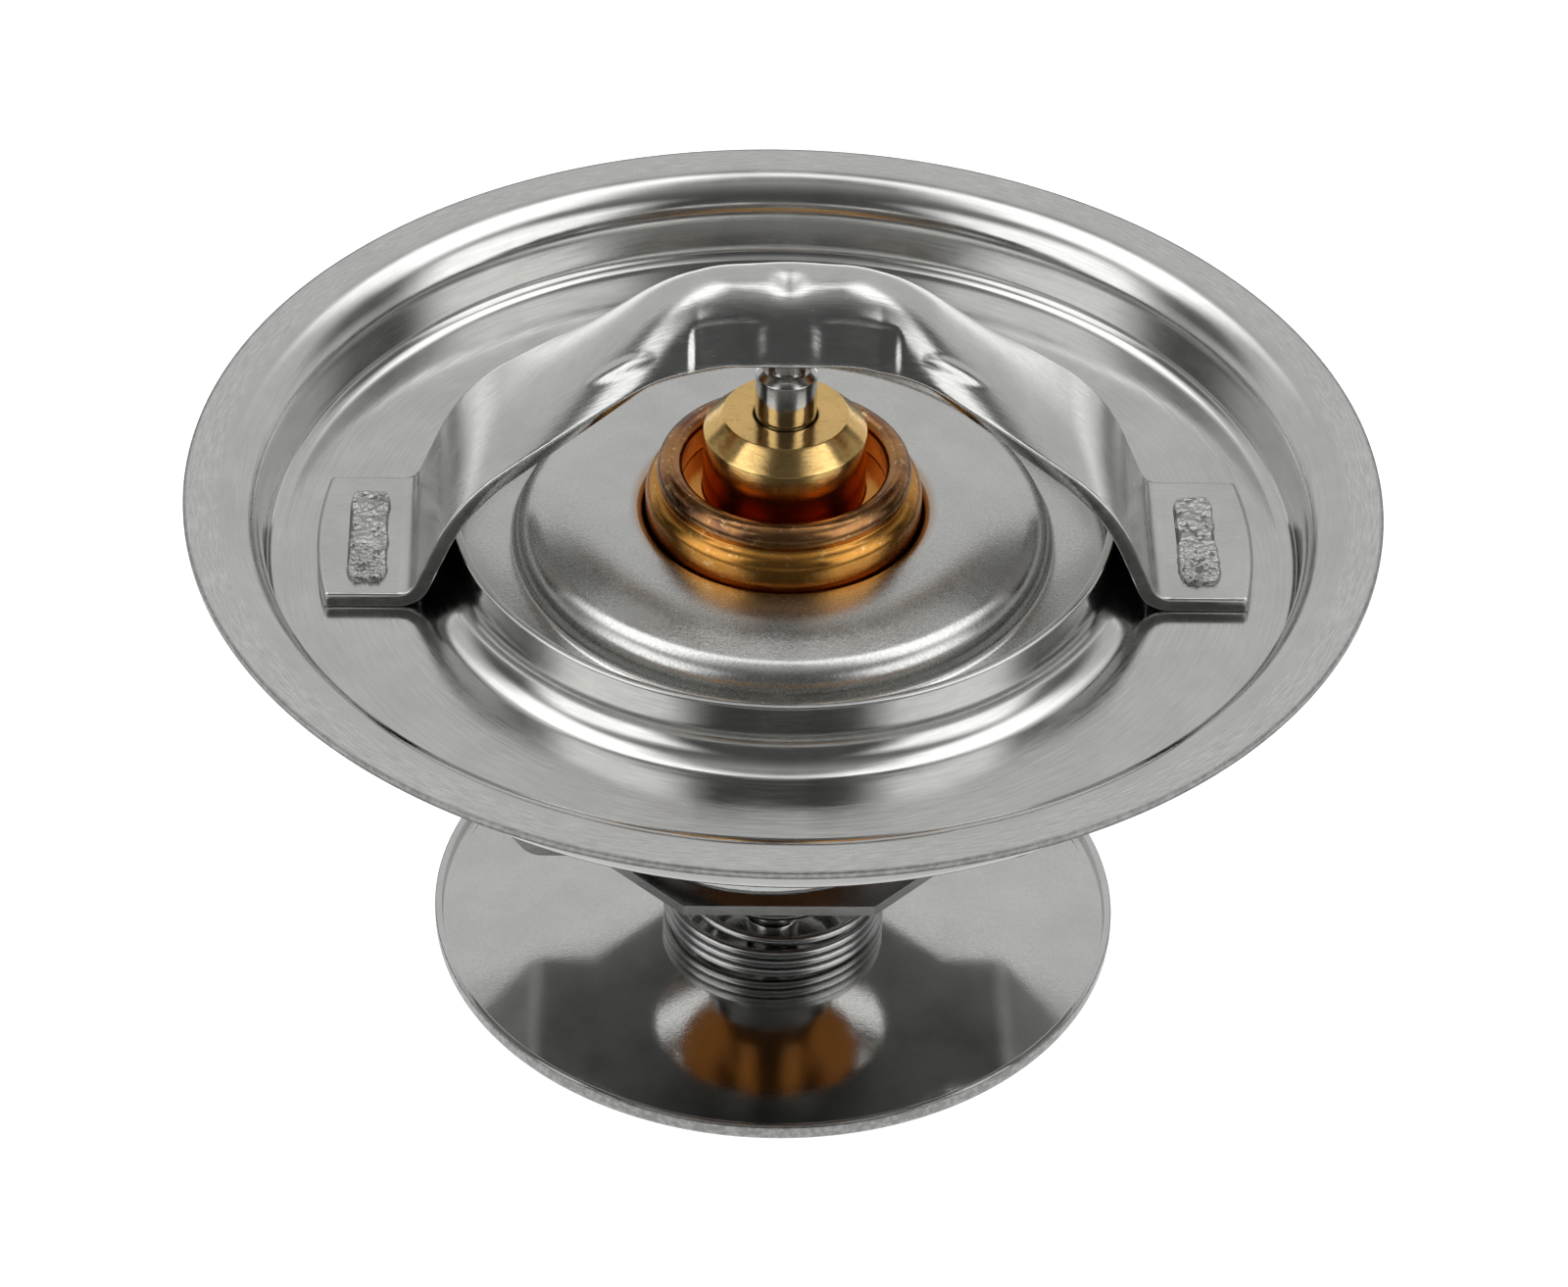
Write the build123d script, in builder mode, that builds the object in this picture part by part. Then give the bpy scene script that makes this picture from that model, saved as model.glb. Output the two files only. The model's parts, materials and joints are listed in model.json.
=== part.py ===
from build123d import *
from math import cos, hypot, pi, radians, sin, sqrt, tan
import os

# Wax-element engine thermostat with a bypass valve, closed, in millimetres.
# The origin is the centre of the rim's top face. +Z points to the engine outlet, over the
# bridge, and X runs along the bridge.

# Flange plate, one pressed sheet
flange_t = 0.55             # sheet thickness
rim_r = 40.0                # outer radius of the rim
rim_w = 2.9                 # from the rim's edge to its bend
wall_w = 2.8                # width that the dish wall takes up
shoulder_r = 1.7            # bend from the rim into the dish
floor_z = -5.55             # top of the dish floor
corner_r = 0.9              # bend from the dish wall into the floor
foot_margin = 3.3           # from the dish wall to the feet of the bridge
seat_play = 0.15            # from the bend of the bridge in to the bend of the collar
seat_top_z = -1.2           # sheared top edge of the seat collar
seat_bend_r = 2.4           # bend from the floor up into the collar, on the upper side

# Upper bridge, one strip bent into an arch
bridge_t = 1.05             # strip thickness
strip_w = 13.0              # strip width of the bridge and of the lower frame
foot_tab_w = 3.2            # from the foot's rounded end to the middle of its tab
foot_l = 2.95               # from the tab to the bend into the leg
foot_bend_r = 1.3
leg_angle = 67.5            # steep lower leg
knee_z = 3.1                # height of the knee in the leg
knee_r = 7.0                # radius of the knee
knee_w = 1.3                # from the knee to where the strip starts to arch across
crown_z = 17.0              # top of the crown
crown_half_w = 4.7          # half width of the channel at the crown
crown_drop = 5.2            # how far its sides hang down
crown_power = 2.5           # roundness of its section, higher is flatter on top
crown_flat_x = 6.0          # half length of the crown
arch_blend = 3.2            # height over which the slopes round into the crown
apron_z = 13.1              # trimmed lower edge of the sides at the crown
apron_half_l = 6.2          # half length of the trimmed part
apron_corner_r = 1.2
rib_w = 3.8                 # rib left between the two coined flats
flat_top_y = 2.9            # upper edge of the coined flats
flat_foot_y = 4.5           # lower edge of the coined flats
coin_depth = 0.2
seat_dent_r = 1.0           # dent over the piston, pressed from above
seat_dent_depth = 0.35
bead_x = 11.05              # stiffening beads on the front of the arch
bead_y = -3.7
bead_l = 5.4
bead_w = 1.2
bead_h = 0.45
bead_angle = 32.0

# Tabs that hold bridge, flange and lower frame together
tab_w = 9.0                 # width of a tab
tab_play = 0.05             # clearance of a tab in its slots
tab_head_w = 2.6            # width of the upset head over the foot
tab_head_h = 0.3

# Lower frame, one blank: eight-sided bottom plate with a leg on each side
frame_t = 0.8
frame_bottom_z = -27.1      # underside of its bottom plate
frame_hole_play = 1.7       # capsule in the hole of the bottom plate
frame_margin = 0.3          # bottom plate outside the middle of the spring's wire
leg_reach = 10.8            # from the bend at the bottom plate out to the tab
leg_knee_z = -12.0          # from here the legs go straight up to the floor
frame_bend_r = 1.0

# Piston and wax element
piston_r = 2.05
piston_shoulder_z = 9.65    # where the full diameter ends under the bridge
piston_neck_r = 1.3
piston_end_z = -17.0        # lower end in the rubber sleeve
piston_end_play = 0.02      # piston under the bridge
guide_play = 0.07           # piston in the guide bore
sleeve_play = 0.07          # piston in the sleeve
guide_top_z = 5.95
guide_top_r = 4.15          # flat end face of the guide
guide_r = 5.45              # cylinder of the guide
guide_chamfer_z = 4.6       # lower edge of its cone
guide_flange_r = 8.2
guide_flange_z0 = -1.9
guide_flange_z1 = -0.2
guide_spigot_z = -6.0       # lower end of the guide in the capsule
collar_r = 9.25             # widest part of the copper collar
collar_under_z = -4.0       # underside of the collar
collar_groove_z = 0.95      # groove between the collar and its rolled lip
collar_groove_r = 8.65
lip_top_z = 2.2             # rolled lip
lip_r = 6.9                 # opening of the rolled lip
capsule_r = 6.45            # body of the capsule
capsule_wall = 0.85
capsule_bottom_z = -24.8
capsule_bottom_t = 2.2      # thick bottom with a blind bore for the stem
capsule_edge_r = 0.3
sleeve_r = 3.6              # rubber sleeve round the piston
sleeve_tip = 1.6            # rubber under the piston's end
sleeve_flange_h = 1.2       # flange of the sleeve under the guide
backup_r = 3.4              # backup ring in the guide
backup_h = 1.0

# Valve disc, one pressed sheet
disc_t = 0.8
disc_crown_z = -1.7
disc_well_play = 0.35       # collar in the well of the disc
disc_well_edge_r = 0.9      # rounded edge of the well
disc_rim_w = 3.85           # from the seat collar in to the wall of the crown
disc_shoulder_r = 2.3       # rounding from the crown into the wall
disc_brim_z = -4.6          # top of the brim
disc_foot_r = 0.55          # rounding from the wall into the brim
disc_edge_r = 1.5           # roll at the edge of the brim
disc_skirt_h = 0.5          # straight end of the roll
disc_play = 0.05            # capsule in the disc's hole
seat_gap = 0.15             # valve to seat

# Springs
main_wire_r = 1.0
main_well_play = 0.95       # main spring round the well of the disc
main_turns = 5.0
bypass_wire_r = 0.34
bypass_small_r = 4.55       # coil in the groove of the stem
bypass_step_r = 5.2         # coil just under it
bypass_large_r = 7.4        # wide coils on the plate
bypass_turns = 6.0
bypass_top_z = -33.0        # first coil in the groove of the stem
dead_share = 0.16           # share of its length that lies flat in the groove
spring_play = 0.02          # end coils to their seats

# Stem and bypass plate
stem_spigot_r = 2.2         # pressed into the bottom of the capsule
stem_spigot_l = 1.2
stem_foot_r = 3.2
collar_top_z = -27.8        # tapered collar of the stem
collar_top_r = 3.9
collar_full_z = -30.0
collar_full_r = 4.5
stem_groove_r = 4.1         # groove that holds the bypass spring
stem_lip_z = -34.2          # lower end of the lip under the groove
stem_lip_r = 4.35
stem_r = 1.85               # pin that guides the bypass plate
stem_end_z = -40.4
plate_play = 0.1            # plate on the stem
plate_t = 0.5
plate_z = -37.45            # top of the plate
plate_r = 23.77
plate_lip_h = 1.05          # height of the turned-up lip over the plate
retainer_r = 3.9
retainer_t = 0.7
retainer_groove_r = 1.5
retainer_play = 0.04
retainer_gap = 2.6          # opening of the ring

# Derived places, from the rim inwards
shoulder_start_r = rim_r - rim_w
wall_foot_r = shoulder_start_r - wall_w
foot_end_r = wall_foot_r - foot_margin
tab_x = foot_end_r - foot_tab_w
foot_bend_x = tab_x - foot_l
seat_centre_r = foot_bend_x - seat_play
seat_r = seat_centre_r - seat_bend_r - flange_t
disc_wall_r = seat_r - disc_rim_w
disc_well_wall_r = collar_r + disc_well_play
main_r = disc_well_wall_r + disc_t + main_well_play + main_wire_r
frame_bottom_r = main_r + frame_margin
frame_hole_r = capsule_r + frame_hole_play
leg_bend_x = tab_x - leg_reach
seat_centre_z = floor_z + seat_bend_r
seat_under_r = seat_bend_r + flange_t
foot_z = floor_z + bridge_t
tab_t = frame_t

os.makedirs("parts", exist_ok=True)


def finish(builder, name):
    """Label a finished piece and write it."""
    builder.part.label = name
    export_step(builder.part, f"parts/{name}.step")


# Flange plate
slope = radians(84)
with BuildPart() as flange_plate:
    with BuildSketch(Plane.XZ):
        with BuildLine():
            FilletPolyline(
                (rim_r, 0),
                (shoulder_start_r - shoulder_r * tan(slope / 2), 0),
                (wall_foot_r, floor_z),
                (seat_r + flange_t, floor_z),
                (seat_r + flange_t, seat_top_z),
                radius=[shoulder_r, corner_r, seat_bend_r],
            )
            offset(amount=flange_t, side=Side.LEFT)
        make_face()
    revolve(axis=Axis.Z)
    with BuildSketch(Plane.XY.offset(floor_z + 1)):
        with Locations((-tab_x, 0), (tab_x, 0)):
            Rectangle(tab_t + 2 * tab_play, tab_w + 2 * tab_play)
    extrude(amount=-3, mode=Mode.SUBTRACT)
finish(flange_plate, "flange_plate")

# Upper bridge: flat strip in the feet and lower legs, and between them an arch that is
# pressed to a channel whose sides hang down round the piston
knee_x = foot_bend_x - (knee_z - foot_z) / tan(radians(leg_angle))
slope_start_x = knee_x - knee_w
arch_slope = (crown_z - knee_z) / (knee_x - crown_flat_x - arch_blend / 4)


def arch_section(x):
    """Top height, half width and side drop of the arch at the distance x from its middle."""
    slope_z = knee_z + (knee_x - abs(x)) * arch_slope
    rounding = max(0, arch_blend - abs(slope_z - crown_z)) ** 2 / (4 * arch_blend)
    top_z = min(slope_z, crown_z) - rounding
    share = (slope_start_x - abs(x)) / (slope_start_x - crown_flat_x)
    share = min(1, max(0, share)) ** 1.5
    return top_z, strip_w / 2 - share * (strip_w / 2 - crown_half_w), share * crown_drop


def arch_lines(x):
    """Points of the strip's upper and lower face across the arch at x."""
    top_z, half_w, drop = arch_section(x)
    ahead_z = arch_section(abs(x) + 0.1)[0]
    thick = bridge_t * hypot(1, (top_z - ahead_z) / 0.1)
    upper, lower = [], []
    for step in range(-4, 5):
        share = step / 4
        y, z = half_w * share, top_z - drop * abs(share) ** crown_power
        lean = crown_power * drop * share * abs(share) ** (crown_power - 2) / half_w
        upper.append((y, z))
        lower.append((y - thick * lean / (1 + lean**2), z - thick / (1 + lean**2)))
    return upper, lower


def arch_z(x, y):
    """Height of the arch's upper face at x and y."""
    top_z, half_w, drop = arch_section(x)
    return top_z - drop * (abs(y) / half_w) ** crown_power


leg_top = [
    (wall_foot_r, foot_z),
    (foot_bend_x, foot_z),
    (knee_x, knee_z),
    (knee_x - 3 * knee_w, knee_z + 3 * knee_w * arch_slope),
]
arch_stations = [slope_start_x * share for share in (1, 0.9, 0.8, 0.68, 0.56, 0.46, 0.38, 0.3, 0.2)]
crown_top_z = arch_section(0)[0]
crown_under_z = crown_top_z - bridge_t
with BuildPart() as upper_bridge:
    with BuildSketch(Plane.XZ.offset(-strip_w / 2)):
        with BuildLine():
            FilletPolyline(*leg_top, radius=[foot_bend_r, knee_r])
            offset(amount=bridge_t, side=Side.LEFT)
        make_face()
    extrude(amount=strip_w)
    split(bisect_by=Plane.YZ.offset(slope_start_x), keep=Keep.TOP)
    with BuildSketch(Plane.XY.offset(floor_z)):
        Circle(foot_end_r)
    extrude(amount=crown_z, mode=Mode.INTERSECT)
    mirror(about=Plane.YZ)
    for x in [-x for x in arch_stations] + [0] + arch_stations[::-1]:
        upper, lower = arch_lines(x)
        with BuildSketch(Plane.YZ.offset(x)):
            with BuildLine():
                Spline(*upper)
                Spline(*lower)
                Line(upper[0], lower[0])
                Line(upper[-1], lower[-1])
            make_face()
    loft()
    ball = Sphere(0.5, mode=Mode.PRIVATE)
    bead = scale(ball, by=(bead_l, bead_w, 2 * bead_h), mode=Mode.PRIVATE)
    bead_z = arch_z(bead_x, bead_y)
    add(Location((bead_x, bead_y, bead_z), (0, bead_angle, 0)) * bead)
    add(Location((-bead_x, bead_y, bead_z), (0, -bead_angle, 0)) * bead)
    # Trimmed lower edge of the sides at the crown
    with BuildSketch(Plane.XZ.offset(-strip_w)):
        with Locations((0, apron_z - apron_half_l)):
            RectangleRounded(2 * apron_half_l, 2 * apron_half_l, apron_corner_r)
    extrude(amount=2 * strip_w, mode=Mode.SUBTRACT)
    # Coined flats on both sides, with a rib left between them
    flat_top_z = arch_z(0, flat_top_y) - coin_depth
    flat_foot_z = arch_z(0, flat_foot_y) - coin_depth
    with BuildSketch(Plane.YZ.offset(rib_w / 2)) as flats:
        with BuildLine():
            Polyline(
                (flat_top_y, flat_top_z),
                (flat_foot_y, flat_foot_z),
                (strip_w, flat_foot_z),
                (strip_w, crown_z),
                (flat_top_y, crown_z),
                close=True,
            )
        make_face()
        mirror(about=Plane.XZ)
    extrude(amount=apron_half_l - rib_w / 2, mode=Mode.SUBTRACT)
    extrude(to_extrude=mirror(flats.sketch, about=Plane.YZ, mode=Mode.PRIVATE),
            amount=apron_half_l - rib_w / 2, mode=Mode.SUBTRACT)
    # Dent that centres the end of the piston
    with BuildSketch(Plane.XZ):
        with BuildLine():
            Polyline(
                (0, crown_under_z - seat_dent_depth),
                (seat_dent_r, crown_under_z),
                (seat_dent_r, crown_top_z - seat_dent_depth),
                (0, crown_top_z - seat_dent_depth),
                close=True,
            )
        make_face()
    revolve(axis=Axis.Z)
    with BuildSketch(Plane.XZ):
        with BuildLine():
            Polyline(
                (0, crown_top_z - seat_dent_depth),
                (1.5 * seat_dent_r, crown_top_z + seat_dent_depth / 2),
                (0, crown_top_z + seat_dent_depth / 2),
                close=True,
            )
        make_face()
    revolve(axis=Axis.Z, mode=Mode.SUBTRACT)
    # Slots for the tabs
    with BuildSketch(Plane.XY.offset(foot_z + 1)):
        with Locations((-tab_x, 0), (tab_x, 0)):
            Rectangle(tab_t + 2 * tab_play, tab_w + 2 * tab_play)
    extrude(amount=-3, mode=Mode.SUBTRACT)
finish(upper_bridge, "upper_bridge")

# Lower frame: bottom plate under the main spring and legs up to the flange floor
frame_under = [
    (0, frame_bottom_z),
    (leg_bend_x, frame_bottom_z),
    (tab_x + tab_t / 2, leg_knee_z),
    (tab_x + tab_t / 2, floor_z - flange_t),
]
with BuildPart() as lower_frame:
    with BuildSketch(Plane.XZ.offset(-strip_w / 2)):
        with BuildLine():
            FilletPolyline(*frame_under, radius=[frame_bend_r + frame_t] * 2)
            offset(amount=frame_t, side=Side.LEFT)
        make_face()
    extrude(amount=strip_w)
    with BuildSketch(Plane.XY.offset(floor_z - flange_t)):
        with Locations((tab_x, 0)):
            Rectangle(tab_t, tab_w)
    extrude(amount=foot_z - floor_z + flange_t + tab_head_h / 2)
    with BuildSketch(Plane.XY.offset(foot_z)):
        with Locations((tab_x, 0)):
            RectangleRounded(tab_head_w, tab_w, tab_head_w / 2.2)
    extrude(amount=tab_head_h, taper=30)
    mirror(about=Plane.YZ)
    # Bottom plate: a square with its corners cut down to the width of the legs
    with BuildSketch(Plane.XY.offset(frame_bottom_z)) as bottom_plate:
        Rectangle(2 * frame_bottom_r, 2 * frame_bottom_r)
        chamfer(bottom_plate.vertices(), frame_bottom_r - strip_w / 2)
    extrude(amount=frame_t)
    with BuildSketch(Plane.XY.offset(frame_bottom_z)):
        Circle(frame_hole_r)
    extrude(amount=2 * frame_t, mode=Mode.SUBTRACT)
finish(lower_frame, "lower_frame")

# Piston: its end is countersunk to sit on the dent of the bridge
piston_top_z = crown_under_z - piston_end_play
with BuildPart() as piston:
    with BuildSketch(Plane.XZ):
        with BuildLine():
            Polyline(
                (0, piston_end_z),
                (piston_r - 0.3, piston_end_z),
                (piston_r, piston_end_z + 0.5),
                (piston_r, piston_shoulder_z - 0.45),
                (piston_r - 0.35, piston_shoulder_z),
                (piston_neck_r, piston_shoulder_z),
                (piston_neck_r, piston_top_z - 0.2),
                (seat_dent_r, piston_top_z),
                (0, piston_top_z - seat_dent_depth),
                close=True,
            )
        make_face()
    revolve(axis=Axis.Z)
finish(piston, "piston")

# Brass guide, clamped in the collar of the capsule
capsule_bore_r = capsule_r - capsule_wall
capsule_floor_z = capsule_bottom_z + capsule_bottom_t
stem_top_z = capsule_bottom_z + stem_spigot_l
sleeve_top_z = guide_spigot_z
with BuildPart() as piston_guide:
    with BuildSketch(Plane.XZ):
        with BuildLine():
            Polyline(
                (piston_r + guide_play, guide_spigot_z),
                (piston_r + guide_play, guide_top_z - 0.3),
                (piston_r + guide_play + 0.3, guide_top_z),
                (guide_top_r, guide_top_z),
                (guide_r, guide_chamfer_z),
                (guide_r, guide_flange_z1),
                (guide_flange_r, guide_flange_z1),
                (guide_flange_r, guide_flange_z0),
                (capsule_bore_r, guide_flange_z0),
                (capsule_bore_r, guide_spigot_z + 0.6),
                (capsule_bore_r - 0.3, guide_spigot_z),
                close=True,
            )
        make_face()
    revolve(axis=Axis.Z)
    # Counterbore for the backup ring
    with BuildSketch(Plane.XY.offset(guide_spigot_z)):
        Circle(backup_r)
    extrude(amount=backup_h, mode=Mode.SUBTRACT)
finish(piston_guide, "piston_guide")

with BuildPart() as backup_ring:
    with BuildSketch(Plane.XY.offset(guide_spigot_z)):
        Circle(backup_r)
        Circle(piston_r + guide_play / 2, mode=Mode.SUBTRACT)
    extrude(amount=backup_h)
finish(backup_ring, "backup_ring")

# Rubber sleeve, closed at its lower end, with a flange under the guide
with BuildPart() as rubber_sleeve:
    with BuildSketch(Plane.XZ):
        with BuildLine():
            Polyline(
                (0, piston_end_z - sleeve_tip),
                (sleeve_r - 1, piston_end_z - sleeve_tip),
                (sleeve_r, piston_end_z - sleeve_tip + 1),
                (sleeve_r, sleeve_top_z - sleeve_flange_h),
                (capsule_bore_r, sleeve_top_z - sleeve_flange_h),
                (capsule_bore_r, sleeve_top_z),
                (piston_r + sleeve_play, sleeve_top_z),
                (piston_r + sleeve_play, piston_end_z - sleeve_play),
                (0, piston_end_z - sleeve_play),
                close=True,
            )
        make_face()
    revolve(axis=Axis.Z)
finish(rubber_sleeve, "rubber_sleeve")

with BuildPart() as wax_charge:
    with BuildSketch(Plane.XZ):
        with BuildLine():
            Polyline(
                (0, capsule_floor_z),
                (capsule_bore_r - 0.8, capsule_floor_z),
                (capsule_bore_r, capsule_floor_z + 0.8),
                (capsule_bore_r, sleeve_top_z - sleeve_flange_h),
                (sleeve_r, sleeve_top_z - sleeve_flange_h),
                (sleeve_r, piston_end_z - sleeve_tip + 1),
                (sleeve_r - 1, piston_end_z - sleeve_tip),
                (0, piston_end_z - sleeve_tip),
                close=True,
            )
        make_face()
    revolve(axis=Axis.Z)
finish(wax_charge, "wax_charge")

# Copper capsule: rolled lip, groove, collar, and body with a blind bore for the stem
with BuildPart() as capsule_cup:
    with BuildSketch(Plane.XZ) as cup_section:
        with BuildLine():
            Spline(
                (lip_r, guide_flange_z1),
                (lip_r, lip_top_z - 0.9),
                (lip_r + 0.75, lip_top_z),
                (collar_groove_r - 0.15, collar_groove_z + 0.5),
                (collar_groove_r, collar_groove_z),
                (collar_r, -0.5),
                (collar_r, collar_under_z + 0.4),
                tangents=[(0, 1), (0, -1)],
            )
            Polyline(
                (collar_r, collar_under_z + 0.4),
                (collar_r - 0.4, collar_under_z),
                (capsule_r, collar_under_z),
                (capsule_r, capsule_bottom_z + capsule_edge_r),
                (capsule_r - capsule_edge_r, capsule_bottom_z),
                (stem_spigot_r, capsule_bottom_z),
                (stem_spigot_r, stem_top_z),
                (0, stem_top_z),
                (0, capsule_floor_z),
                (capsule_bore_r - 0.8, capsule_floor_z),
                (capsule_bore_r, capsule_floor_z + 0.8),
                (capsule_bore_r, guide_flange_z0),
                (guide_flange_r, guide_flange_z0),
                (guide_flange_r, guide_flange_z1),
                (lip_r, guide_flange_z1),
            )
        make_face()
    revolve(axis=Axis.Z)
finish(capsule_cup, "capsule_cup")

# Valve disc: its edge seats under the bend of the flange's collar
edge_z = disc_brim_z - disc_edge_r
edge_reach = seat_under_r + disc_edge_r + seat_gap
edge_x = seat_centre_r - sqrt(edge_reach**2 - (edge_z - seat_centre_z) ** 2) + disc_edge_r
with BuildPart() as valve_disc:
    with BuildSketch(Plane.XZ):
        with BuildLine():
            FilletPolyline(
                (edge_x, edge_z - disc_skirt_h),
                (edge_x, disc_brim_z),
                (disc_wall_r, disc_brim_z),
                (disc_wall_r, disc_crown_z),
                (disc_well_wall_r, disc_crown_z),
                (disc_well_wall_r, collar_under_z),
                (capsule_r + disc_play, collar_under_z),
                radius=[disc_edge_r, disc_foot_r, disc_shoulder_r, disc_well_edge_r, 0.4],
            )
            offset(amount=disc_t, side=Side.LEFT)
        make_face()
    revolve(axis=Axis.Z)
finish(valve_disc, "valve_disc")

# Springs: eight-sided wire swept along a coil
def coil(turns, radius_at, height_at):
    """Points of a coil whose radius and height are functions of the share of its length."""
    points = []
    for step in range(int(turns * 10) + 1):
        angle = 2 * pi * step / 10
        share = step / (turns * 10)
        radius = radius_at(share)
        points.append((radius * cos(angle), radius * sin(angle), height_at(share)))
    return points


def blend(share, start, end):
    """Smooth step from 0 to 1 between two shares of a coil's length."""
    part = min(1, max(0, (share - start) / (end - start)))
    return part * part * (3 - 2 * part)


# Main spring, with its end coils nearly flat
main_bottom_z = frame_bottom_z + frame_t + main_wire_r + spring_play
main_rise = disc_crown_z - disc_t - main_wire_r - spring_play - main_bottom_z
main_path = coil(
    main_turns,
    lambda share: main_r,
    lambda share: main_bottom_z + main_rise * (share - 0.08 * sin(2 * pi * share)),
)
with BuildPart() as main_spring:
    with BuildLine():
        Spline(*main_path)
    with BuildSketch(Plane(main_path[0], z_dir=(0, 1, 0))):
        RegularPolygon(main_wire_r, 8)
    sweep(is_frenet=True)
finish(main_spring, "main_spring")

# Bypass spring: one flat coil in the groove of the stem, then two steps out to wide coils
bypass_drop = bypass_top_z - plate_z - bypass_wire_r - spring_play


def bypass_radius(share):
    """Radius of the bypass spring at a share of its length."""
    first = (bypass_step_r - bypass_small_r) * blend(share, 0.11, 0.2)
    second = (bypass_large_r - bypass_step_r) * blend(share, 0.33, 0.52)
    return bypass_small_r + first + second


bypass_path = coil(
    bypass_turns,
    bypass_radius,
    lambda share: bypass_top_z - bypass_drop * max(0, (share - dead_share) / (1 - dead_share)),
)
with BuildPart() as bypass_spring:
    with BuildLine():
        Spline(*bypass_path)
    with BuildSketch(Plane(bypass_path[0], z_dir=(0, 1, 0))):
        RegularPolygon(bypass_wire_r, 8)
    sweep(is_frenet=True)
finish(bypass_spring, "bypass_spring")

# Stem: spigot in the capsule, tapered collar, groove for the spring, pin for the plate
plate_under_z = plate_z - plate_t
groove_half = bypass_wire_r + 0.05
with BuildPart() as stem:
    with BuildSketch(Plane.XZ):
        with BuildLine():
            Polyline(
                (0, stem_top_z),
                (stem_spigot_r, stem_top_z),
                (stem_spigot_r, capsule_bottom_z),
                (stem_foot_r, capsule_bottom_z),
                (stem_foot_r, collar_top_z),
                (collar_top_r, collar_top_z),
                (collar_full_r, collar_full_z),
                (collar_full_r, bypass_top_z + groove_half),
                (stem_groove_r, bypass_top_z + groove_half),
                (stem_groove_r, bypass_top_z - groove_half),
                (stem_lip_r, bypass_top_z - groove_half - 0.15),
                (stem_lip_r, stem_lip_z + 0.25),
                (stem_lip_r - 0.25, stem_lip_z),
                (stem_r, stem_lip_z),
                (stem_r, plate_under_z),
                (retainer_groove_r, plate_under_z),
                (retainer_groove_r, plate_under_z - retainer_t - 2 * retainer_play),
                (stem_r, plate_under_z - retainer_t - 2 * retainer_play),
                (stem_r, stem_end_z + 0.4),
                (stem_r - 0.4, stem_end_z),
                (0, stem_end_z),
                close=True,
            )
        make_face()
    revolve(axis=Axis.Z)
finish(stem, "stem")

with BuildPart() as retaining_ring:
    with BuildSketch(Plane.XY.offset(plate_under_z - retainer_play)):
        Circle(retainer_r)
        Circle(retainer_groove_r, mode=Mode.SUBTRACT)
        with Locations((retainer_r, 0)):
            Rectangle(2 * retainer_r, retainer_gap, mode=Mode.SUBTRACT)
    extrude(amount=-retainer_t)
finish(retaining_ring, "retaining_ring")

# Bypass plate, loose on the stem
with BuildPart() as bypass_plate:
    with BuildSketch(Plane.XZ):
        with BuildLine():
            FilletPolyline(
                (plate_r, plate_z + plate_lip_h),
                (plate_r, plate_under_z),
                (stem_r + plate_play, plate_under_z),
                radius=plate_t + 0.4,
            )
            offset(amount=plate_t, side=Side.RIGHT)
        make_face()
    revolve(axis=Axis.Z)
finish(bypass_plate, "bypass_plate")
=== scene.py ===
import bpy
import json
from math import cos, exp, pi, radians, sin, sqrt

from mathutils import Matrix, Vector, noise

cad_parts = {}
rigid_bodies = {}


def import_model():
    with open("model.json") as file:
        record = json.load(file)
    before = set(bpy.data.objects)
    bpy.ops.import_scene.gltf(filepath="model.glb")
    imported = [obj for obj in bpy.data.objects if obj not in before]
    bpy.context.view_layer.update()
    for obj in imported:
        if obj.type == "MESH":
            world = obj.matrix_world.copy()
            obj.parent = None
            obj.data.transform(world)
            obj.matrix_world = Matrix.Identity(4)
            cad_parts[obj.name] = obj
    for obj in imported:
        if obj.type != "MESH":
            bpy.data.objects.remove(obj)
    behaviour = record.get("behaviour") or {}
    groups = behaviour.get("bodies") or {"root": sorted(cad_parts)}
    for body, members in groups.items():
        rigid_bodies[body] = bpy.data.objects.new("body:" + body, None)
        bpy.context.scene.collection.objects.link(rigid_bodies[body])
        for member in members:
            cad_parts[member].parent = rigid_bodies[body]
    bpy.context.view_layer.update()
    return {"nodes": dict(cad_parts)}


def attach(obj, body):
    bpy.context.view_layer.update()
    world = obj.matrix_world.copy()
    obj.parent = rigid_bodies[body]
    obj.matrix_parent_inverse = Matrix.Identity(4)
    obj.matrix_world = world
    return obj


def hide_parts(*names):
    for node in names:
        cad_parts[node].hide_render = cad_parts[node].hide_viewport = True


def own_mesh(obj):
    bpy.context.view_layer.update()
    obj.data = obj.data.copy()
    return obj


for left_over in list(bpy.data.objects):
    bpy.data.objects.remove(left_over)
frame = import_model()
nodes = frame["nodes"]
scene = bpy.context.scene
scene.view_settings.view_transform = "Standard"
MM = 0.001


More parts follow.
